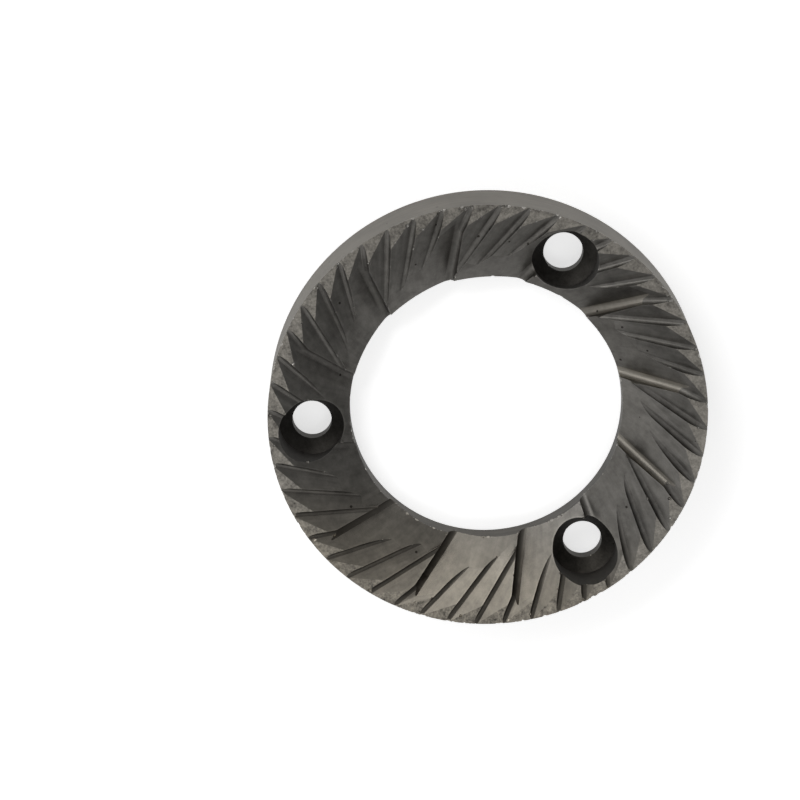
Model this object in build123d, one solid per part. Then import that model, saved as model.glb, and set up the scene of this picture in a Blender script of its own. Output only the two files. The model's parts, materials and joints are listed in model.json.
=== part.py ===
from build123d import *
import os
from math import asin, cos, degrees, radians, sin, sqrt, tan

# Flat grinding burr of a coffee grinder: one steel ring, toothed on its top face.
# Origin at the centre of the flat back face, +Z up through the teeth, one screw hole on +X.
# Lengths in millimetres, angles in degrees.

# Ring, with its outer back edge broken and a chamfer round the back of the bore
outer_diameter = 64.0
bore_diameter = 40.2
thickness = 9.5
edge_break = 0.2
bore_chamfer = 1.3

# Tooth pattern: every fourth groove carries a deeper breaker groove that opens into the bore
breaker_count = 12
grooves_per_breaker = 4

# Finishing grooves, which run from points on the rim towards the bore
finishing_line_offset = 15.3
finishing_slope = 14.4
finishing_ramp_angle = 28.2
finishing_wall_draft = 12.5
finishing_root_radius = 0.6

# Breaker grooves, which take over from a finishing groove and fall to the bore
breaker_start_inset = 3.7
breaker_start_step = 0.1
breaker_line_offset = 8.2
breaker_slope = 30.0
breaker_ramp_angle = 29.5
breaker_wall_draft = 10.5
breaker_root_radius = 0.85

# Countersunk screw holes, placed by the wall between each hole and the bore
screw_count = 3
screw_bore_wall = 2.8
screw_hole_diameter = 5.8
screw_head_diameter = 9.5
countersink_angle = 90.0
screw_chamfer = 0.6
screw_land_length = 1.9

# How far the cutters run past the ring, ahead of a groove and past the next groove
overrun = 1.0
lead_in = 3.0
ramp_margin = 0.3

outer_radius = outer_diameter / 2
bore_radius = bore_diameter / 2
screw_circle_diameter = bore_diameter + 2 * screw_bore_wall + screw_hole_diameter
groove_count = breaker_count * grooves_per_breaker
groove_pitch = 360 / groove_count
breaker_pitch = 360 / breaker_count


def polar_point(radius, angle, height=0.0):
    """Point at a radius and an angle about the burr's axis."""
    return Vector(radius * cos(radians(angle)), radius * sin(radians(angle)), height)


def swing(line_offset, far_radius, near_radius):
    """Angle by which a straight groove line turns about the axis between two radii."""
    return degrees(asin(line_offset / near_radius) - asin(line_offset / far_radius))


def plan_run(line_offset, far_radius, near_radius):
    """Length of a straight groove line between two radii, in plan."""
    return sqrt(far_radius**2 - line_offset**2) - sqrt(near_radius**2 - line_offset**2)


def groove_section(root_radius, ramp_angle, wall_draft, ramp_width, height):
    """Closed section of a groove cutter: steep wall, round root and a ramp rising to the right."""
    ramp = Vector(cos(radians(ramp_angle)), sin(radians(ramp_angle)))
    wall = Vector(-sin(radians(wall_draft)), cos(radians(wall_draft)))
    root_centre = Vector(0, root_radius)
    wall_foot = root_centre + Vector(-wall.Y, wall.X) * root_radius
    ramp_foot = root_centre + Vector(ramp.Y, -ramp.X) * root_radius
    wall_top = wall_foot + wall * (height / wall.Y)
    ramp_top = ramp_foot + ramp * ((ramp_width - ramp_foot.X) / ramp.X)
    top_right = Vector(ramp_width, wall_top.Y)
    outline = [
        Line(wall_top, wall_foot),
        ThreePointArc(wall_foot, Vector(0, 0), ramp_foot),
        Line(ramp_foot, ramp_top),
        Line(ramp_top, top_right),
        Line(top_right, wall_top),
    ]
    return make_face(outline)


def groove_cutter(start, end, neighbours, slope, section_sizes, root_shift=0.0):
    """Cutter whose root falls from start along the plan line to end, its ramp just past the neighbours.

    The root line lies off the plan line by the root shift, on the ramp's side.
    """
    forward = Vector(end.X - start.X, end.Y - start.Y).normalized()
    side = forward.rotate(Axis.Z, -90)
    start = start + side * root_shift
    fall = forward * cos(radians(slope)) - Vector(0, 0, sin(radians(slope)))
    ramp_width = max((point - start).dot(side) for point in neighbours) + ramp_margin
    length = max((point - start).dot(forward) for point in neighbours) / cos(radians(slope)) + ramp_margin
    section = groove_section(*section_sizes, ramp_width, 2 * thickness)
    inner_end = Plane(origin=start + fall * length, x_dir=side, z_dir=-fall)
    return extrude(inner_end * section, length + lead_in)


def ring_blank():
    """Plain turned ring with its outer back edge broken and its bore chamfered at the back."""
    half_section = Polyline(
        (bore_radius + bore_chamfer, 0),
        (outer_radius - edge_break, 0),
        (outer_radius, edge_break),
        (outer_radius, thickness),
        (bore_radius, thickness),
        (bore_radius, bore_chamfer),
        close=True,
    )
    return revolve(Plane.XZ * make_face(half_section), Axis.Z)


def finishing_cutter():
    """Cutter of the finishing groove whose rim point lies on +X."""
    bore_angle = swing(finishing_line_offset, outer_radius, bore_radius)
    rim_point = polar_point(outer_radius, 0, thickness)
    bore_point = polar_point(bore_radius, bore_angle)
    next_rim_point = polar_point(outer_radius, groove_pitch)
    next_bore_point = polar_point(bore_radius, bore_angle + groove_pitch)
    sizes = (finishing_root_radius, finishing_ramp_angle, finishing_wall_draft)
    return groove_cutter(rim_point, bore_point, [next_rim_point, next_bore_point], finishing_slope, sizes)


def breaker_cutter():
    """Cutter of the breaker groove that takes over from the finishing groove on +X, wall to wall."""
    start_radius = outer_radius - breaker_start_inset
    start_angle = swing(finishing_line_offset, outer_radius, start_radius)
    finishing_run = plan_run(finishing_line_offset, outer_radius, start_radius)
    start_height = thickness - finishing_run * tan(radians(finishing_slope)) - breaker_start_step
    start = polar_point(start_radius, start_angle, start_height)
    bore_angle = start_angle + swing(breaker_line_offset, start_radius, bore_radius)
    bore_point = polar_point(bore_radius, bore_angle)
    next_bore_point = polar_point(bore_radius, bore_angle + breaker_pitch)
    sizes = (breaker_root_radius, breaker_ramp_angle, breaker_wall_draft)
    root_shift = breaker_root_radius - finishing_root_radius
    return groove_cutter(start, bore_point, [next_bore_point], breaker_slope, sizes, root_shift)


def screw_cutter():
    """Back chamfer, through hole, cone and counterbore of one countersunk screw on +X."""
    hole_radius = screw_hole_diameter / 2
    head_radius = screw_head_diameter / 2
    cone_foot = screw_chamfer + screw_land_length
    cone_top = cone_foot + (head_radius - hole_radius) / tan(radians(countersink_angle / 2))
    half_section = Polyline(
        (0, -overrun),
        (hole_radius + screw_chamfer + overrun, -overrun),
        (hole_radius, screw_chamfer),
        (hole_radius, cone_foot),
        (head_radius, cone_top),
        (head_radius, thickness + overrun),
        (0, thickness + overrun),
        close=True,
    )
    cutter = revolve(Plane.XZ * make_face(half_section), Axis.Z)
    return Pos(screw_circle_diameter / 2, 0, 0) * cutter


def burr():
    """The ring with its grooves milled and its screw holes bored."""
    finishing = finishing_cutter()
    breaker = breaker_cutter()
    screw = screw_cutter()
    cutters = [Rot(0, 0, groove_pitch * index) * finishing for index in range(groove_count)]
    cutters += [Rot(0, 0, breaker_pitch * index) * breaker for index in range(breaker_count)]
    cutters += [Rot(0, 0, 360 / screw_count * index) * screw for index in range(screw_count)]
    return ring_blank() - cutters


os.makedirs("parts", exist_ok=True)
export_step(burr(), "parts/grinding_burr.step")
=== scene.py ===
import json
from math import asin, cos, pi, radians, sin, sqrt, tan, tau

import bpy
from mathutils import Matrix, Vector


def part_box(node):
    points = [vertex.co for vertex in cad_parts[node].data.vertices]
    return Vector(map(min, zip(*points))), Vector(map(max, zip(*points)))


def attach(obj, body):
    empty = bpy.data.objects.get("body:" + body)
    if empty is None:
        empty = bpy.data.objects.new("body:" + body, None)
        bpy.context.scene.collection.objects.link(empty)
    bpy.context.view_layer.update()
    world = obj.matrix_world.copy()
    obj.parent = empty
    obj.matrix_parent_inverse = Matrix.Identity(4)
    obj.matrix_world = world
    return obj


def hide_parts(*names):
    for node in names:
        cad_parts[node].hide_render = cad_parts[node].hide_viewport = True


# A flat coffee grinder burr that lies on its back, teeth up, on a pale floor.
# Metres and radians, in the frame's axes: the ring's axis is Z, and one screw hole lies on +X.

MM = 0.001
BURR_NODE = "grinding_burr"

# Tooth pattern, with the solid's own sizes
BREAKER_COUNT = 12
GROOVES_PER_BREAKER = 4
FINISHING = {
    "line_offset": 15.3 * MM,
    "slope": radians(14.4),
    "ramp_angle": radians(28.2),
    "wall_draft": radians(12.5),
    "root_radius": 0.6 * MM,
}
BREAKER = {
    "line_offset": 8.2 * MM,
    "slope": radians(30.0),
    "ramp_angle": radians(29.5),
    "wall_draft": radians(10.5),
    "root_radius": 0.85 * MM,
}
BREAKER_START_INSET = 3.7 * MM
BREAKER_START_STEP = 0.1 * MM

# Screw recesses, chamfers and broken edges, with the solid's own sizes
SCREW_HEAD_DIAMETER = 9.5 * MM
SCREW_CHAMFER = 0.6 * MM
SCREW_LAND_LENGTH = 1.9 * MM
COUNTERSINK_ANGLE = radians(90)
BORE_CHAMFER = 1.3 * MM
EDGE_BREAK = 0.2 * MM

# How far cutters run past what they cut
OVERRUN = 1.0 * MM
LEAD_IN = 3.0 * MM
RAMP_MARGIN = 0.3 * MM

# How finely round things are divided, and how closely edges, normals and points are told apart
RING_SEGMENTS = 384
SCREW_SEGMENTS = 64
TURNED_LEVELS = 5
ROOT_POINTS = 13
SHARP_EDGE = radians(25)
NORMAL_MARGIN = 0.01
MERGE_DISTANCE = 0.001 * MM

# Nicks along the sharp edges: the spacing of the places where one may be, how often one is there,
# and the share of the burr's thickness below which there are none
NICK_SEED = 11
NICK_SPACING = 0.55 * MM
NICK_SHARES = {"rim": 0.42, "bore": 0.30, "crest": 0.07}
NICK_LOWEST = 0.25

# A nick's cutter: its radii, how far it is stretched and flattened, and how far it is lifted off the edge
NICK_SIZES = (0.08 * MM, 0.45 * MM)
NICK_STRETCH = (0.9, 1.9)
NICK_FLATNESS = (0.5, 1.0)
NICK_LIFT = 0.45
NICK_SUBDIVISIONS = 2

# Steel: the darkest and the brightest metal, bright metal where it is warm, and the colour of dirt and
# painted shade in the roots
DARK_STEEL = (0.050, 0.047, 0.042, 1.0)
BRIGHT_STEEL = (0.347, 0.334, 0.310, 1.0)
WARM_STEEL = (0.390, 0.355, 0.295, 1.0)
ROOT_DIRT_AND_SHADE = (0.018, 0.014, 0.010, 1.0)

# How far painted shade and dirt reach out of a corner in shallow grooves, how far painted shadow reaches
# out from the wall in deep grooves, and wear from an edge
CORNER_SHADE_REACH = 1.4 * MM
WALL_SHADOW_REACH = 3.4 * MM
EDGE_REACH = 0.25 * MM

# How near a point lies to a plane or cylinder that it belongs to, in millimetres
SURFACE_MARGIN = 0.02

# Noise patterns in the steel: grains in each millimetre, detail and roughness
CLOUDS = (0.16, 2.0, 0.55)
BLOTCHES = (0.45, 2.0, 0.5)
MOTTLE = (0.9, 4.0, 0.6)
GRAIN = (3.2, 2.0, 0.6)
FINISHING_STREAKS = (1.6, 3.0, 0.55)
BREAKER_STREAKS = (1.1, 3.0, 0.55)
TURNING_LINES = (2.4, 3.0, 0.65)

# Scale of streaks along a groove, and of turning lines round the ring, against their scale across
STREAK_STRETCH = 0.12
TURNING_STRETCH = 0.04

# Pits: cells that may hold one, in each millimetre, a pit's reach in a cell and the share of cells with one
PIT_CELLS = 0.6
PIT_REACH = 0.12
PIT_SHARE = 0.12

# The finish has layers, which are named masks and patterns. How strongly each speckles the steel
SPECKLE_WEIGHTS = {
    "land": 1.2,
    "polished_land": -0.3,
    "turned": -0.2,
}

# The steel's tone, from 0 for dark to 1 for bright, and how far each layer moves it
MIDDLE_TONE = 0.5
TONE_WEIGHTS = {
    "clouds": 0.25,
    "mottle": 0.32,
    "grain": 0.18,
    "speckled_mottle": 0.88,
    "speckled_grain": 0.80,
    "streaks": 0.40,
    "groove_blotches": 0.32,
    "turning_lines": 0.28,
    "land": 0.04,
    "soiled_land": -0.09,
    # Painted light: breakers lighter on the far side
    "soiled_breaker": 0.16,
    "screw_recess": -0.40,
    "outside": -0.17,
    "inside": -0.38,
    "finishing_root": -0.10,
    # Painted shade and dirt in the finishing roots of the far side
    "soiled_finishing_root": -0.16,
    # Painted highlight on the breaker roots of one side
    "highlighted_breaker_root": 0.20,
    "nick": 0.45,
    "groove_edge": 0.30,
}

# How warm each layer makes bright steel, apart from the far side, which is all warm
WARMTH_WEIGHTS = {
    "land": 0.4,
    "outside": 0.6,
    "highlighted_breaker_root": 0.5,
}

# How much dirt and painted shade each layer carries: painted shade and dirt in groove corners and far-side
# roots, painted shade on the breakers of one side, painted shadow beside breaker walls, and dirt in
# recesses and pits
DIRT_AND_SHADE_WEIGHTS = {
    # Painted shade and dirt in groove corners
    "corner_shade_and_dirt": 0.55,
    "corner_shade_and_dirt_mottle": 1.0,
    # Painted shade and dirt in the roots of the far side
    "soiled_finishing_root": 0.25,
    "soiled_finishing_root_mottle": 1.0,
    "soiled_breaker_root": 0.88,
    "soiled_breaker_root_mottle": 0.4,
    # Painted shade on the breakers of one side
    "breaker_painted_shade": 0.22,
    # Painted shadow beside the breaker walls, darker on the far side
    "breaker_wall_shadow": 0.65,
    "soiled_deep_breaker": 0.9,
    "screw_recess": 0.22,
    "pits": 0.8,
}

# The steel's roughness and fine relief, and how far each layer moves them
PLAIN_ROUGHNESS = 0.40
ROUGHNESS_WEIGHTS = {
    "mottle": 0.12,
    "streaks": 0.10,
    "screw_recess": 0.15,
    "groove_root": 0.10,
    "turned": 0.2,
}
RELIEF_WEIGHTS = {
    "mottle": 0.5,
    "grain": 0.35,
    "streaks": 0.6,
    "turning_lines": 0.6,
}
RELIEF_STRENGTH = 0.25
RELIEF_DEPTH = 0.02 * MM

# Camera, fitted to the photograph's rim, bore, holes and tooth points
PHOTO_TURN = radians(55.07)
CAMERA_TILT = radians(17.64)
CAMERA_ROLL_TO_SIDE = radians(0.60)
CAMERA_DISTANCE = 386.7 * MM
CAMERA_OFFSET = 12.67 * MM
CAMERA_LENS = 117.0
CAMERA_SENSOR = 36.0
CAMERA_CLIP_START = 10 * MM

# Sides of the burr: the side away from the camera, with darker lands, darker roots (painted shade and
# dirt), more painted shadow beside breaker walls and lighter breakers (painted light); a side with painted
# highlights on breaker roots and less speckled lands; and a side with painted shade on breakers. They begin
# at a share of the bore's radius and end at the bore, or for the far side at a share of the rim's radius
FAR_SIDE = PHOTO_TURN - radians(103)
HIGHLIGHT_AND_POLISH_SIDE = PHOTO_TURN + radians(14)
SHADED_BREAKER_SIDE = PHOTO_TURN + radians(72)
SIDE_START = 0.5
FAR_SIDE_END = 0.85

# Soft boxes: azimuth and elevation in the photograph's axes (degrees), width, height and power
LIGHT_DISTANCE = 0.5
SOFT_BOXES = {
    "key": (120, 40, 0.20, 0.20, 0.52),
    "key_side": (150, 40, 0.20, 0.20, 0.275),
    "low_left": (203, 14, 0.80, 0.20, 0.37),
    "low_front": (296, 14, 0.52, 0.20, 0.095),
    "overhead": (270, 66, 0.40, 0.20, 0.342),
    "overhead_right": (0, 66, 0.20, 0.20, 0.05),
    "left": (210, 40, 0.20, 0.20, 0.082),
    "right": (60, 40, 0.20, 0.20, 0.052),
}
WHITE = (1.0, 1.0, 1.0, 1.0)
SURROUND_STRENGTH = 0.174

# Floor: half its width in metres, its colour, roughness and glow
FLOOR_HALF_WIDTH = 0.8
FLOOR_COLOUR = (0.9, 0.9, 0.9, 1.0)
FLOOR_ROUGHNESS = 0.8
FLOOR_GLOW = 0.64

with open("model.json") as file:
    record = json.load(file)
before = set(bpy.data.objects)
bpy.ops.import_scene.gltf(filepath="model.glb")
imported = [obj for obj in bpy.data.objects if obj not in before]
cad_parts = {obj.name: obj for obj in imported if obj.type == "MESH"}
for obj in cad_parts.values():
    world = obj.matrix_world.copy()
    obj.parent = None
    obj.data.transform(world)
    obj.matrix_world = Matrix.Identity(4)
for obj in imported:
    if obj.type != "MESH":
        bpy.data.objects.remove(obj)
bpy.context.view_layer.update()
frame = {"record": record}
low_corner, high_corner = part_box(BURR_NODE)
mount_sizes = {mount["name"]: mount["dims"] for mount in frame["record"]["mounts"]}

outer_radius = (high_corner.x - low_corner.x) / 2
thickness = high_corner.z - low_corner.z
bore_radius = mount_sizes["bore"]["r_mm"] * MM
screw_circle_radius = mount_sizes["screw_holes"]["pcd_mm"] * MM / 2
screw_hole_radius = mount_sizes["screw_holes"]["hole_r_mm"] * MM
screw_count = mount_sizes["screw_holes"]["count"]
screw_head_radius = SCREW_HEAD_DIAMETER / 2
groove_count = BREAKER_COUNT * GROOVES_PER_BREAKER


# Node trees

class Value:
    """An output socket that takes part in Python arithmetic by adding Math nodes to its tree."""

    def __init__(self, tree, socket):
        self.tree = tree
        self.socket = socket

    def __add__(self, other):
        return self.tree.math("ADD", self, other)

    def __radd__(self, other):
        return self.tree.math("ADD", other, self)

    def __sub__(self, other):
        return self.tree.math("SUBTRACT", self, other)

    def __rsub__(self, other):
        return self.tree.math("SUBTRACT", other, self)

    def __mul__(self, other):
        return self.tree.math("MULTIPLY", self, other)

    def __rmul__(self, other):
        return self.tree.math("MULTIPLY", other, self)

    def __truediv__(self, other):
        return self.tree.math("DIVIDE", self, other)

    def __neg__(self):
        return self.tree.math("MULTIPLY", self, -1.0)

    def __gt__(self, other):
        return self.tree.math("GREATER_THAN", self, other)

    def __lt__(self, other):
        return self.tree.math("LESS_THAN", self, other)


class Tree:
    """A node tree that is built one node at a time."""

    def __init__(self, tree):
        self.tree = tree

    def node(self, kind, settings=None, sockets=None, output=0):
        """Adds a node, applies its settings, feeds its sockets and returns one of its outputs."""
        node = self.tree.nodes.new(kind)
        for name, setting in (settings or {}).items():
            if name == "items":
                add_switch_items(node, setting)
            else:
                setattr(node, name, setting)
        for name, value in (sockets or {}).items():
            for single in value if isinstance(value, list) else [value]:
                self.feed(find_socket(node.inputs, name), single)
        return Value(self, find_socket(node.outputs, output))

    def feed(self, socket, value):
        """Links a value to an input socket, or sets the socket to a number, colour, vector or name."""
        if isinstance(value, Value):
            self.tree.links.new(value.socket, socket)
        else:
            socket.default_value = value

    def math(self, operation, *operands):
        """Adds a Math node."""
        return self.node("ShaderNodeMath", {"operation": operation}, dict(enumerate(operands)))

    def vector(self, x, y, z):
        """Adds a vector made of three values."""
        return self.node("ShaderNodeCombineXYZ", None, {0: x, 1: y, 2: z})

    def split(self, vector):
        """Adds the three values of a vector."""
        return [self.node("ShaderNodeSeparateXYZ", None, {0: vector}, axis) for axis in range(3)]

    def scaled(self, vector, factor):
        """Adds a vector times a factor."""
        return self.node("ShaderNodeVectorMath", {"operation": "SCALE"}, {0: vector, "Scale": factor})

    def mix(self, factor, first, second):
        """Adds a colour between two colours."""
        return self.node("ShaderNodeMix", {"data_type": "RGBA"}, {
            "Factor_Float": factor, "A_Color": first, "B_Color": second,
        }, "Result_Color")

    def store(self, geometry, name, value):
        """Stores a value on each face of a geometry, for the finish to read."""
        settings = {"data_type": "FLOAT", "domain": "FACE"}
        return self.node("GeometryNodeStoreNamedAttribute", settings, {
            "Geometry": geometry, "Name": name, "Value": value,
        })


def find_socket(sockets, name):
    """The socket with a place, identifier or name in a node's inputs or outputs."""
    if isinstance(name, int):
        return sockets[name]
    for socket in sockets:
        if socket.identifier == name:
            return socket
    return sockets[name]


def add_switch_items(node, count):
    """Gives an Index Switch as many items as it chooses from."""
    while len(node.index_switch_items) < count:
        node.index_switch_items.new()


def geometry_tree(name, inputs):
    """A new geometry tree with named inputs, and its input values by name."""
    tree = bpy.data.node_groups.new(name, "GeometryNodeTree")
    tree.interface.new_socket("Geometry", in_out="OUTPUT", socket_type="NodeSocketGeometry")
    for input_name, socket_type in inputs.items():
        tree.interface.new_socket(input_name, in_out="INPUT", socket_type=socket_type)
    group_input = tree.nodes.new("NodeGroupInput")
    builder = Tree(tree)
    values = {input_name: Value(builder, group_input.outputs[input_name]) for input_name in inputs}
    return builder, values


def finish_tree(builder, geometry):
    """Ends a geometry tree in its group output."""
    group_output = builder.tree.nodes.new("NodeGroupOutput")
    builder.feed(group_output.inputs[0], geometry)
    return builder.tree


# The burr's shape

def turned_shape_tree():
    """Tree of a solid of revolution on Z, with a radius at each of its levels from the lowest up."""
    inputs = {"Segments": "NodeSocketInt"}
    for level in range(TURNED_LEVELS):
        inputs[f"Height {level}"] = "NodeSocketFloat"
        inputs[f"Radius {level}"] = "NodeSocketFloat"
    tree, size = geometry_tree("turned_shape", inputs)
    top_level = TURNED_LEVELS - 1
    blank = tree.node("GeometryNodeMeshCylinder", {"fill_type": "NGON"}, {
        "Vertices": size["Segments"],
        "Side Segments": top_level,
        "Radius": 1.0,
        "Depth": float(top_level),
    })
    x, y, z = tree.split(tree.node("GeometryNodeInputPosition"))
    level = tree.math("ROUND", z + top_level / 2)
    choices = {
        kind: tree.node(
            "GeometryNodeIndexSwitch",
            {"data_type": "FLOAT", "items": TURNED_LEVELS},
            {"Index": level, **{1 + place: size[f"{kind} {place}"] for place in range(TURNED_LEVELS)}},
        )
        for kind in ("Height", "Radius")
    }
    moved = tree.vector(x * choices["Radius"], y * choices["Radius"], choices["Height"])
    shaped = tree.node("GeometryNodeSetPosition", None, {"Geometry": blank, "Position": moved})
    return finish_tree(tree, shaped)


def groove_cutter_tree():
    """Tree of a groove cutter: a prism whose section has a steep wall, a round root and a ramp."""
    values = ("Root Radius", "Ramp Angle", "Wall Draft", "Ramp Width", "Height", "Length", "Breaker")
    inputs = {name: "NodeSocketFloat" for name in values}
    inputs.update({name: "NodeSocketVector" for name in ("Inner End", "Side", "Outward")})
    tree, size = geometry_tree("groove_cutter", inputs)
    root, ramp, draft = size["Root Radius"], size["Ramp Angle"], size["Wall Draft"]
    sin_ramp, cos_ramp, tan_ramp = (tree.math(name, ramp) for name in ("SINE", "COSINE", "TANGENT"))
    sin_draft, cos_draft, tan_draft = (tree.math(name, draft) for name in ("SINE", "COSINE", "TANGENT"))

    index = tree.node("GeometryNodeInputIndex")
    share = (index - 1) / (ROOT_POINTS - 1)
    arc_angle = draft + pi + share * (ramp - draft + pi / 2)
    arc_x = root * tree.math("COSINE", arc_angle)
    arc_y = root + root * tree.math("SINE", arc_angle)
    arc = tree.vector(arc_x, arc_y, 0.0)
    top = root - root * sin_draft + size["Height"]
    wall_top = tree.vector(-root * cos_draft - tan_draft * size["Height"], top, 0.0)
    ramp_rise = (size["Ramp Width"] - root * sin_ramp) * tan_ramp
    ramp_top = tree.vector(size["Ramp Width"], root - root * cos_ramp + ramp_rise, 0.0)
    top_right = tree.vector(size["Ramp Width"], top, 0.0)
    role = (index > 0.5) + (index > ROOT_POINTS + 0.5) + (index > ROOT_POINTS + 1.5)
    place = tree.node(
        "GeometryNodeIndexSwitch",
        {"data_type": "VECTOR", "items": 4},
        {"Index": role, 1: wall_top, 2: arc, 3: ramp_top, 4: top_right},
    )
    line = tree.node("GeometryNodeCurvePrimitiveLine")
    points = tree.node("GeometryNodeResampleCurve", None, {"Curve": line, "Count": ROOT_POINTS + 3})
    outline = tree.node("GeometryNodeSetPosition", None, {"Geometry": points, "Position": place})
    closed = tree.node("GeometryNodeSetSplineCyclic", None, {"Geometry": outline, "Cyclic": True})
    section = tree.node("GeometryNodeFillCurve", {"mode": "NGONS"}, {"Curve": closed})

    sides = tree.node("GeometryNodeExtrudeMesh", {"mode": "FACES"}, {
        "Mesh": section, "Offset Scale": size["Length"], "Individual": False,
    })
    base = tree.node("GeometryNodeFlipFaces", None, {"Mesh": section})
    open_prism = tree.node("GeometryNodeJoinGeometry", None, {"Geometry": [sides, base]})
    prism = tree.node("GeometryNodeMergeByDistance", None, {
        "Geometry": open_prism, "Distance": MERGE_DISTANCE,
    })

    normal_x, normal_y, _ = tree.split(tree.node("GeometryNodeInputNormal"))
    beside_wall = normal_x > NORMAL_MARGIN - cos_draft
    before_ramp = normal_x < sin_ramp - NORMAL_MARGIN
    on_root = beside_wall * before_ramp * (normal_y < -NORMAL_MARGIN)
    marked = tree.store(prism, "groove_root", on_root)
    marked = tree.store(marked, "groove", 1.0)
    marked = tree.store(marked, "breaker", size["Breaker"])
    turn = tree.node(
        "FunctionNodeAxesToRotation",
        {"primary_axis": "Z", "secondary_axis": "X"},
        {"Primary Axis": size["Outward"], "Secondary Axis": size["Side"]},
    )
    placed = tree.node("GeometryNodeTransform", None, {
        "Geometry": marked, "Translation": size["Inner End"], "Rotation": turn,
    })
    return finish_tree(tree, placed)


def ring_of(tree, shape, count):
    """Copies of a shape, turned evenly round Z."""
    points = tree.node("GeometryNodePoints", None, {"Count": count})
    index = tree.node("GeometryNodeInputIndex")
    turn = tree.vector(0.0, 0.0, index * (tau / count))
    return tree.node("GeometryNodeInstanceOnPoints", None, {
        "Points": points, "Instance": shape, "Rotation": turn,
    })


def cut_away(tree, shape, cutters):
    """A shape less its cutters, which stay instances so that each is a closed mesh of its own."""
    return tree.node(
        "GeometryNodeMeshBoolean",
        {"operation": "DIFFERENCE", "solver": "MANIFOLD"},
        {"Mesh 1": shape, "Mesh 2": cutters},
    )


def nick_cutters(tree, shape, size):
    """Small blunt cutters strewn along a shape's sharp edges, closest on the rim."""
    def chance(low, high, seed):
        """A random number for each place."""
        return tree.node("FunctionNodeRandomValue", {"data_type": "FLOAT"}, {
            "Min_001": low, "Max_001": high, "Seed": NICK_SEED + seed,
        }, "Value_001")

    bend = tree.node("GeometryNodeInputMeshEdgeAngle", output="Signed Angle")
    captured = tree.tree.nodes.new("GeometryNodeCaptureAttribute")
    captured.domain = "POINT"
    captured.capture_items.new("VECTOR", "Outward")
    tree.feed(captured.inputs["Geometry"], shape)
    tree.feed(captured.inputs["Outward"], tree.node("GeometryNodeInputNormal"))
    outward = Value(tree, captured.outputs["Outward"])
    edges = tree.node("GeometryNodeMeshToCurve", None, {
        "Mesh": Value(tree, captured.outputs["Geometry"]), "Selection": bend > SHARP_EDGE,
    })
    points = tree.node("GeometryNodeCurveToPoints", {"mode": "LENGTH"}, {
        "Curve": edges, "Length": NICK_SPACING,
    })
    x, y, z = tree.split(tree.node("GeometryNodeInputPosition"))
    reach = tree.math("SQRT", x * x + y * y)
    on_rim = (reach > size["Outer Radius"] - NICK_SPACING) * (z > size["Thickness"] - NICK_SPACING)
    on_bore = reach < size["Bore Radius"] + NICK_SPACING
    share = NICK_SHARES["crest"] + on_rim * NICK_SHARES["rim"] + on_bore * NICK_SHARES["bore"]
    worn = (chance(0.0, 1.0, 0) < share) * (z > size["Thickness"] * NICK_LOWEST)
    spread = chance(0.0, 1.0, 1)
    smallest, largest = NICK_SIZES
    radius = smallest + (largest - smallest) * spread * spread * spread
    lift = tree.scaled(outward, radius * NICK_LIFT)
    moved = tree.node("GeometryNodeSetPosition", None, {"Geometry": points, "Offset": lift})
    ball = tree.node("GeometryNodeMeshIcoSphere", None, {
        "Radius": 1.0, "Subdivisions": NICK_SUBDIVISIONS,
    })
    turn = tree.vector(chance(0.0, tau, 2), chance(0.0, tau, 3), chance(0.0, tau, 4))
    scale = tree.vector(radius * chance(*NICK_STRETCH, 5), radius, radius * chance(*NICK_FLATNESS, 6))
    return tree.node("GeometryNodeInstanceOnPoints", None, {
        "Points": moved,
        "Selection": worn,
        "Instance": tree.store(ball, "nick", 1.0),
        "Rotation": turn,
        "Scale": scale,
    })


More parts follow.
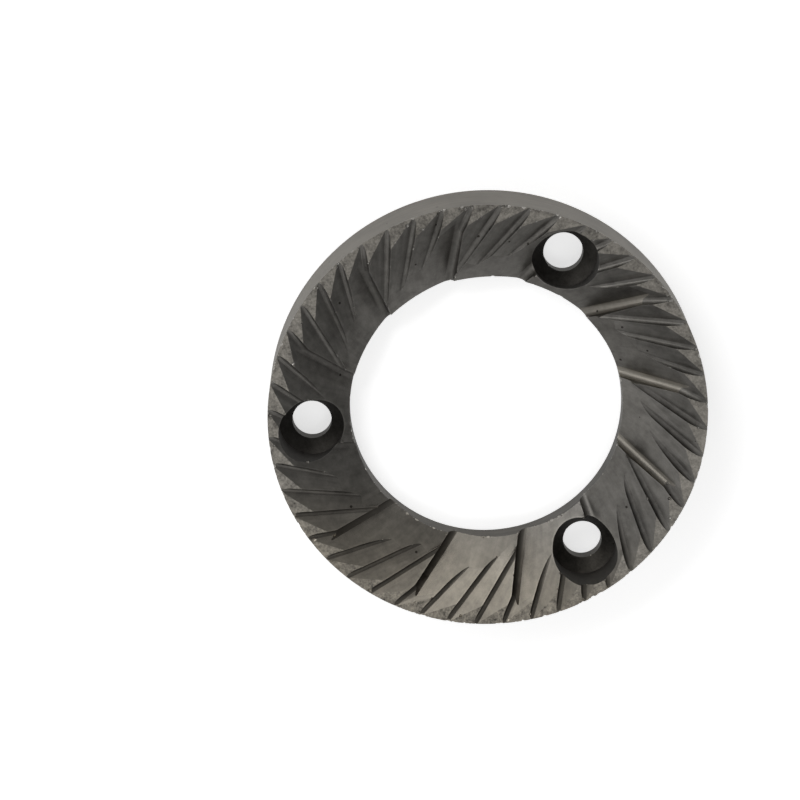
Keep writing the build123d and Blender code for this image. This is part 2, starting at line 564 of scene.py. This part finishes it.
def burr_tree(material, turned_shape, groove_cutter, size_names):
    """Tree of the whole burr: a turned disc less its bore, screw recesses and grooves."""
    tree, size = geometry_tree("burr", size_names)

    def turned(segments, levels):
        """A turned shape, from the height and radius at each of its levels."""
        sockets = {"Segments": segments}
        for number, (height, radius) in enumerate(levels):
            sockets[f"Height {number}"] = height
            sockets[f"Radius {number}"] = radius
        return tree.node("GeometryNodeGroup", {"node_tree": turned_shape}, sockets)

    def groove(kind):
        """The cutter of one kind of groove, from the inputs that begin with its name."""
        names = [name for name in size_names if name.startswith(kind)]
        sockets = {name.removeprefix(f"{kind} "): size[name] for name in names}
        sockets["Height"] = 2 * size["Thickness"]
        sockets["Breaker"] = float(kind == "Breaker")
        return tree.node("GeometryNodeGroup", {"node_tree": groove_cutter}, sockets)

    top = size["Thickness"] + OVERRUN
    rim, bore, edge = size["Outer Radius"], size["Bore Radius"], size["Edge Break"]
    disc = turned(RING_SEGMENTS, [
        (0.0, rim - edge),
        (edge, rim),
        (size["Thickness"] / 3, rim),
        (size["Thickness"] * 2 / 3, rim),
        (size["Thickness"], rim),
    ])
    bore_chamfer = size["Bore Chamfer"]
    bore_cutter = turned(RING_SEGMENTS, [
        (-OVERRUN, bore + bore_chamfer + OVERRUN),
        (bore_chamfer, bore),
        (size["Thickness"] / 3, bore),
        (size["Thickness"] * 2 / 3, bore),
        (top, bore),
    ])
    hole, head, screw_chamfer = size["Screw Hole Radius"], size["Screw Head Radius"], size["Screw Chamfer"]
    cone_foot = screw_chamfer + size["Screw Land Length"]
    cone_height = (head - hole) / tree.math("TANGENT", size["Countersink Half Angle"])
    screw_cutter = turned(SCREW_SEGMENTS, [
        (-OVERRUN, hole + screw_chamfer + OVERRUN),
        (screw_chamfer, hole),
        (cone_foot, hole),
        (cone_foot + cone_height, head),
        (top, head),
    ])
    screw_place = tree.vector(size["Screw Circle Radius"], 0.0, 0.0)
    placed_screw = tree.node("GeometryNodeTransform", None, {
        "Geometry": screw_cutter, "Translation": screw_place,
    })
    clean = cut_away(tree, disc, [
        bore_cutter,
        ring_of(tree, tree.store(placed_screw, "screw_recess", 1.0), screw_count),
        ring_of(tree, groove("Finishing"), groove_count),
        ring_of(tree, groove("Breaker"), BREAKER_COUNT),
    ])
    worn = cut_away(tree, clean, [nick_cutters(tree, clean, size)])
    whole = tree.node("GeometryNodeRealizeInstances", None, {"Geometry": worn})
    round_faces = tree.node("GeometryNodeSetShadeSmooth", {"domain": "FACE"}, {"Geometry": whole})
    bend = tree.node("GeometryNodeInputMeshEdgeAngle", output="Unsigned Angle")
    smooth = tree.node("GeometryNodeSetShadeSmooth", {"domain": "EDGE"}, {
        "Geometry": round_faces, "Shade Smooth": bend < SHARP_EDGE,
    })
    finished = tree.node("GeometryNodeSetMaterial", None, {"Geometry": smooth, "Material": material})
    return finish_tree(tree, finished)


def polar(radius, angle, height=0.0):
    """Point at a radius and an angle about the burr's axis."""
    return Vector((radius * cos(angle), radius * sin(angle), height))


def swing(line_offset, far_radius, near_radius):
    """Angle by which a straight groove line turns about the axis between two radii."""
    return asin(line_offset / near_radius) - asin(line_offset / far_radius)


def groove_placing(kind, start, end, neighbours, sizes, root_shift=0.0):
    """Inputs of one groove cutter whose root falls from start along the plan line to end.

    The root line lies off the plan line by the root shift, on the ramp's side.
    """
    forward = Vector((end.x - start.x, end.y - start.y, 0.0)).normalized()
    side = Matrix.Rotation(-pi / 2, 3, "Z") @ forward
    start = start + side * root_shift
    fall = forward * cos(sizes["slope"]) - Vector((0.0, 0.0, sin(sizes["slope"])))
    reach = max((point - start).dot(forward) for point in neighbours)
    length = reach / cos(sizes["slope"]) + RAMP_MARGIN
    return {
        f"{kind} Root Radius": sizes["root_radius"],
        f"{kind} Ramp Angle": sizes["ramp_angle"],
        f"{kind} Wall Draft": sizes["wall_draft"],
        f"{kind} Ramp Width": max((point - start).dot(side) for point in neighbours) + RAMP_MARGIN,
        f"{kind} Length": length + LEAD_IN,
        f"{kind} Inner End": start + fall * length,
        f"{kind} Side": side,
        f"{kind} Outward": -fall,
    }


def burr_sizes():
    """Every size that the burr's tree takes, by input name."""
    groove_pitch = tau / groove_count
    breaker_pitch = tau / BREAKER_COUNT
    rim_point = polar(outer_radius, 0.0, thickness)
    bore_angle = swing(FINISHING["line_offset"], outer_radius, bore_radius)
    finishing_neighbours = [
        polar(outer_radius, groove_pitch),
        polar(bore_radius, bore_angle + groove_pitch),
    ]
    bore_point = polar(bore_radius, bore_angle)
    finishing = groove_placing("Finishing", rim_point, bore_point, finishing_neighbours, FINISHING)

    offset = FINISHING["line_offset"]
    start_radius = outer_radius - BREAKER_START_INSET
    start_angle = swing(offset, outer_radius, start_radius)
    finishing_run = sqrt(outer_radius**2 - offset**2) - sqrt(start_radius**2 - offset**2)
    start_height = thickness - finishing_run * tan(FINISHING["slope"]) - BREAKER_START_STEP
    start = polar(start_radius, start_angle, start_height)
    breaker_angle = start_angle + swing(BREAKER["line_offset"], start_radius, bore_radius)
    breaker_end = polar(bore_radius, breaker_angle)
    breaker_neighbours = [polar(bore_radius, breaker_angle + breaker_pitch)]
    root_shift = BREAKER["root_radius"] - FINISHING["root_radius"]
    breaker = groove_placing("Breaker", start, breaker_end, breaker_neighbours, BREAKER, root_shift)
    return {
        "Outer Radius": outer_radius,
        "Bore Radius": bore_radius,
        "Thickness": thickness,
        "Edge Break": EDGE_BREAK,
        "Bore Chamfer": BORE_CHAMFER,
        "Screw Chamfer": SCREW_CHAMFER,
        "Screw Circle Radius": screw_circle_radius,
        "Screw Hole Radius": screw_hole_radius,
        "Screw Head Radius": screw_head_radius,
        "Screw Land Length": SCREW_LAND_LENGTH,
        "Countersink Half Angle": COUNTERSINK_ANGLE / 2,
        **finishing,
        **breaker,
    }


def new_object(name, data):
    """A new object in the scene."""
    obj = bpy.data.objects.new(name, data)
    bpy.context.scene.collection.objects.link(obj)
    return obj


def add_node_modifier(obj, tree, sizes):
    """Adds a geometry tree to an object and sets its inputs by their identifiers."""
    modifier = obj.modifiers.new(tree.name, "NODES")
    modifier.node_group = tree
    for item in tree.interface.items_tree:
        if item.in_out == "INPUT" and item.name in sizes:
            modifier[item.identifier] = sizes[item.name]


def bake_modifiers(obj, material):
    """Turns an object's modified shape into a plain mesh of one material and removes the modifiers."""
    evaluated = obj.evaluated_get(bpy.context.evaluated_depsgraph_get())
    mesh = bpy.data.meshes.new_from_object(evaluated)
    mesh.materials.clear()
    mesh.materials.append(material)
    mesh.polygons.foreach_set("material_index", [0] * len(mesh.polygons))
    obj.modifiers.clear()
    obj.data = mesh


def make_burr(material):
    """The burr, built by its rule from the frame's sizes."""
    sizes = burr_sizes()
    size_names = {
        name: "NodeSocketVector" if isinstance(value, Vector) else "NodeSocketFloat"
        for name, value in sizes.items()
    }
    burr = new_object("burr", bpy.data.meshes.new("burr"))
    tree = burr_tree(material, turned_shape_tree(), groove_cutter_tree(), size_names)
    add_node_modifier(burr, tree, sizes)
    flatten = burr.modifiers.new("flat_faces", "WEIGHTED_NORMAL")
    flatten.keep_sharp = True
    bake_modifiers(burr, material)
    return burr


# Finishes

def new_material(name):
    """A new node material, with its tree and its shader node."""
    material = bpy.data.materials.new(name)
    material.use_nodes = True
    shader = next(node for node in material.node_tree.nodes if node.type == "BSDF_PRINCIPLED")
    return material, Tree(material.node_tree), shader


def mark(tree, name):
    """A mark that the burr's tree stored on its faces, from 0 to 1."""
    return tree.node("ShaderNodeAttribute", {"attribute_name": name}, None, "Fac")


def noise(tree, vector, sizes):
    """Noise about 0, from about -0.5 to 0.5, of a pattern's scale, detail and roughness."""
    scale, detail, roughness = sizes
    value = tree.node("ShaderNodeTexNoise", None, {
        "Vector": vector, "Scale": scale, "Detail": detail, "Roughness": roughness,
    })
    return value - 0.5


def groove_streaks(tree, x, y, groove_sizes, pattern):
    """Streaks that run along the groove lines, in plan millimetres."""
    offset = groove_sizes["line_offset"] / MM
    run = tree.math("SQRT", tree.math("MAXIMUM", x * x + y * y - offset**2, 0.0))
    turn = tree.math("ARCTAN2", y, x) - tree.math("ARCTAN2", offset, run)
    radius = (outer_radius + bore_radius) / 2 / MM
    across_x = tree.math("COSINE", turn) * radius
    across_y = tree.math("SINE", turn) * radius
    return noise(tree, tree.vector(across_x, across_y, run * STREAK_STRETCH), pattern)


def nearby_steel(tree, reach, inside=False):
    """How much the burr's own steel hems a point in, or with inside how near a point is to an edge."""
    settings = {"samples": 1, "only_local": True, "inside": inside}
    return 1 - tree.node("ShaderNodeAmbientOcclusion", settings, {"Distance": reach}, "AO")


def pits(tree, place):
    """Small round pits, strewn thinly."""
    cells = {"Vector": place, "Scale": PIT_CELLS}
    distance = tree.node("ShaderNodeTexVoronoi", None, cells, "Distance")
    draw = tree.split(tree.node("ShaderNodeTexVoronoi", None, cells, "Color"))[0]
    return (distance < PIT_REACH) * (draw < PIT_SHARE)


def towards(tree, x, y, direction, near, far):
    """Soft mask that rises across the burr in one direction, from near to far."""
    along = x * cos(direction) + y * sin(direction)
    sizes = {"Value": along, "From Min": near, "From Max": far}
    return tree.node("ShaderNodeMapRange", {"interpolation_type": "SMOOTHSTEP"}, sizes)


def weighted(start, layers, weights):
    """A starting value plus each of the named layers times its weight."""
    total = start
    for name, weight in weights.items():
        total = total + layers[name] * weight
    return total


def burr_surfaces(tree, place):
    """Masks of the burr's surfaces: some are marks on its faces, and the others are told by their place."""
    x, y, z = tree.split(place)
    marks = ("groove", "breaker", "groove_root", "screw_recess", "nick")
    layers = {name: mark(tree, name) for name in marks}
    groove, breaker, root = layers["groove"], layers["breaker"], layers["groove_root"]
    layers["finishing_root"] = root * (1 - breaker)
    layers["breaker_root"] = root * breaker

    reach = tree.math("SQRT", x * x + y * y)
    whole = (1 - groove) * (1 - layers["screw_recess"]) * (1 - layers["nick"])
    land = whole * (z > thickness / MM - SURFACE_MARGIN)
    inner_reach = (bore_radius + BORE_CHAMFER) / MM + SURFACE_MARGIN
    layers["land"] = land
    layers["outside"] = whole * (reach > outer_radius / MM - SURFACE_MARGIN) * (1 - land)
    layers["inside"] = whole * (reach < inner_reach) * (z > SURFACE_MARGIN)
    layers["turned"] = layers["outside"] + layers["inside"]
    return layers


def add_patterns(tree, place, layers):
    """Adds the noise patterns, streaks, turning lines and pits to the layers of the finish."""
    x, y, z = tree.split(place)
    layers["clouds"] = noise(tree, place, CLOUDS)
    layers["mottle"] = noise(tree, place, MOTTLE)
    layers["grain"] = noise(tree, place, GRAIN)
    layers["groove_blotches"] = noise(tree, place, BLOTCHES) * layers["groove"]
    breaker = layers["breaker"]
    finishing_streaks = groove_streaks(tree, x, y, FINISHING, FINISHING_STREAKS)
    breaker_streaks = groove_streaks(tree, x, y, BREAKER, BREAKER_STREAKS)
    streaks = finishing_streaks * (1 - breaker) + breaker_streaks * breaker
    layers["streaks"] = streaks * layers["groove"]
    turning_place = tree.vector(x * TURNING_STRETCH, y * TURNING_STRETCH, z)
    layers["turning_lines"] = noise(tree, turning_place, TURNING_LINES) * layers["turned"]
    layers["pits"] = pits(tree, place)


def add_wear(tree, place, layers):
    """Adds to the layers of the finish: darker lands, darker roots (painted shade and dirt) and lighter
    breakers (painted light) on the far side, painted highlights on breaker roots and less speckled lands on
    one side, painted shade on breakers on another, painted shade and dirt in groove corners, painted shadow
    beside breaker walls, and lighter groove edges.
    """
    x, y, _ = tree.split(place)
    rim, bore = outer_radius / MM, bore_radius / MM
    start = bore * SIDE_START
    soiled = towards(tree, x, y, FAR_SIDE, start, rim * FAR_SIDE_END)
    highlight_and_polish = towards(tree, x, y, HIGHLIGHT_AND_POLISH_SIDE, start, bore)
    shaded_side = towards(tree, x, y, SHADED_BREAKER_SIDE, start, bore)
    beside_root = 1 - layers["groove_root"]
    breaker_side = layers["breaker"] * beside_root

    # Far side: roots darken with painted shade and dirt, lands darken, breakers lighten with painted light,
    # and bright steel turns warm
    layers["soiled"] = soiled
    for name in ("land", "breaker", "finishing_root", "breaker_root"):
        layers[f"soiled_{name}"] = layers[name] * soiled
    layers["polished_land"] = layers["land"] * highlight_and_polish
    # Painted highlight: breaker roots on one side are made brighter and warmer
    layers["highlighted_breaker_root"] = layers["breaker_root"] * highlight_and_polish
    # Painted shade: breakers, away from their roots, darken towards one side
    layers["breaker_painted_shade"] = breaker_side * shaded_side
    # Painted shade and dirt: groove faces darken where the burr's own steel hems them in
    layers["corner_shade_and_dirt"] = layers["groove"] * beside_root * nearby_steel(tree, CORNER_SHADE_REACH)
    # Painted shadow: breaker ramps darken out from their steep wall, more so on the far side
    layers["breaker_wall_shadow"] = breaker_side * nearby_steel(tree, WALL_SHADOW_REACH)
    layers["soiled_deep_breaker"] = layers["breaker_wall_shadow"] * soiled
    layers["groove_edge"] = layers["groove"] * nearby_steel(tree, EDGE_REACH, inside=True)
    for name in ("corner_shade_and_dirt", "soiled_finishing_root", "soiled_breaker_root"):
        layers[f"{name}_mottle"] = layers[name] * layers["mottle"]
    speckled = weighted(0.0, layers, SPECKLE_WEIGHTS)
    layers["speckled_mottle"] = layers["mottle"] * speckled
    layers["speckled_grain"] = layers["grain"] * speckled


def hardened_steel():
    """Dull hardened steel: milled grooves, a worn and pitted ground face, dark roots and recesses."""
    material, tree, shader = new_material("hardened_steel")
    coordinates = tree.node("ShaderNodeTexCoord", output="Object")
    place = tree.scaled(coordinates, 1 / MM)
    layers = burr_surfaces(tree, place)
    add_patterns(tree, place, layers)
    add_wear(tree, place, layers)

    tone = weighted(MIDDLE_TONE, layers, TONE_WEIGHTS)
    warmth = tree.math("MAXIMUM", layers["soiled"], weighted(0.0, layers, WARMTH_WEIGHTS))
    metal = tree.mix(tone, DARK_STEEL, tree.mix(warmth, BRIGHT_STEEL, WARM_STEEL))
    darkening = weighted(0.0, layers, DIRT_AND_SHADE_WEIGHTS)
    relief = weighted(0.0, layers, RELIEF_WEIGHTS)
    bump = tree.node("ShaderNodeBump", None, {
        "Strength": RELIEF_STRENGTH, "Distance": RELIEF_DEPTH, "Height": relief,
    })
    # Dirt, painted shade and painted shadow pull the metal towards the dark root colour
    tree.feed(shader.inputs["Base Color"], tree.mix(darkening, metal, ROOT_DIRT_AND_SHADE))
    tree.feed(shader.inputs["Metallic"], 1.0)
    tree.feed(shader.inputs["Roughness"], weighted(PLAIN_ROUGHNESS, layers, ROUGHNESS_WEIGHTS))
    tree.feed(shader.inputs["Normal"], bump)
    return material


def pale_floor():
    """Matt white studio floor."""
    material, tree, shader = new_material("pale_floor")
    tree.feed(shader.inputs["Base Color"], FLOOR_COLOUR)
    tree.feed(shader.inputs["Roughness"], FLOOR_ROUGHNESS)
    tree.feed(shader.inputs["Emission Color"], WHITE)
    tree.feed(shader.inputs["Emission Strength"], FLOOR_GLOW)
    return material


# The studio

def make_floor(material):
    """A plain floor under the burr."""
    half = FLOOR_HALF_WIDTH
    corners = [(-half, -half, 0.0), (half, -half, 0.0), (half, half, 0.0), (-half, half, 0.0)]
    mesh = bpy.data.meshes.new("floor")
    mesh.from_pydata(corners, [], [(0, 1, 2, 3)])
    mesh.materials.append(material)
    floor = new_object("floor", mesh)


def photo_to_frame():
    """Turns the photograph's axes, with X to its right and Y up, into the frame's."""
    return Matrix.Rotation(PHOTO_TURN, 4, "Z")


def make_camera():
    """Camera at the photograph's angle to the toothed face."""
    tilt = Matrix.Rotation(CAMERA_TILT, 4, "X")
    sideways = Matrix.Rotation(CAMERA_ROLL_TO_SIDE, 4, "Y")
    view_to_photo = (sideways @ tilt).transposed()
    data = bpy.data.cameras.new("camera")
    data.lens = CAMERA_LENS
    data.sensor_width = CAMERA_SENSOR
    data.clip_start = CAMERA_CLIP_START
    camera = new_object("camera", data)
    stand_off = Matrix.Translation((-CAMERA_OFFSET, 0.0, CAMERA_DISTANCE))
    camera.matrix_world = photo_to_frame() @ view_to_photo @ stand_off
    bpy.context.scene.camera = camera


def add_soft_light(name, azimuth, elevation, width, height, power):
    """Soft box that faces the burr from an azimuth and elevation in the photograph's axes."""
    data = bpy.data.lights.new(name, "AREA")
    data.shape = "RECTANGLE"
    data.size = width
    data.size_y = height
    data.energy = power
    light = new_object(name, data)
    place = photo_to_frame() @ (polar(cos(elevation), azimuth, sin(elevation)) * LIGHT_DISTANCE)
    light.location = place
    light.rotation_euler = place.to_track_quat("Z", "Y").to_euler()


def light_studio():
    """Soft boxes over an even pale surround."""
    for name, (azimuth, elevation, width, height, power) in SOFT_BOXES.items():
        add_soft_light(name, radians(azimuth), radians(elevation), width, height, power)
    world = bpy.data.worlds.new("surround")
    world.use_nodes = True
    background = world.node_tree.nodes["Background"]
    background.inputs["Color"].default_value = WHITE
    background.inputs["Strength"].default_value = SURROUND_STRENGTH
    bpy.context.scene.world = world
    bpy.context.scene.view_settings.view_transform = "Standard"


steel = hardened_steel()
burr = make_burr(steel)
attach(burr, "root")
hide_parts(BURR_NODE)
make_floor(pale_floor())
make_camera()
light_studio()
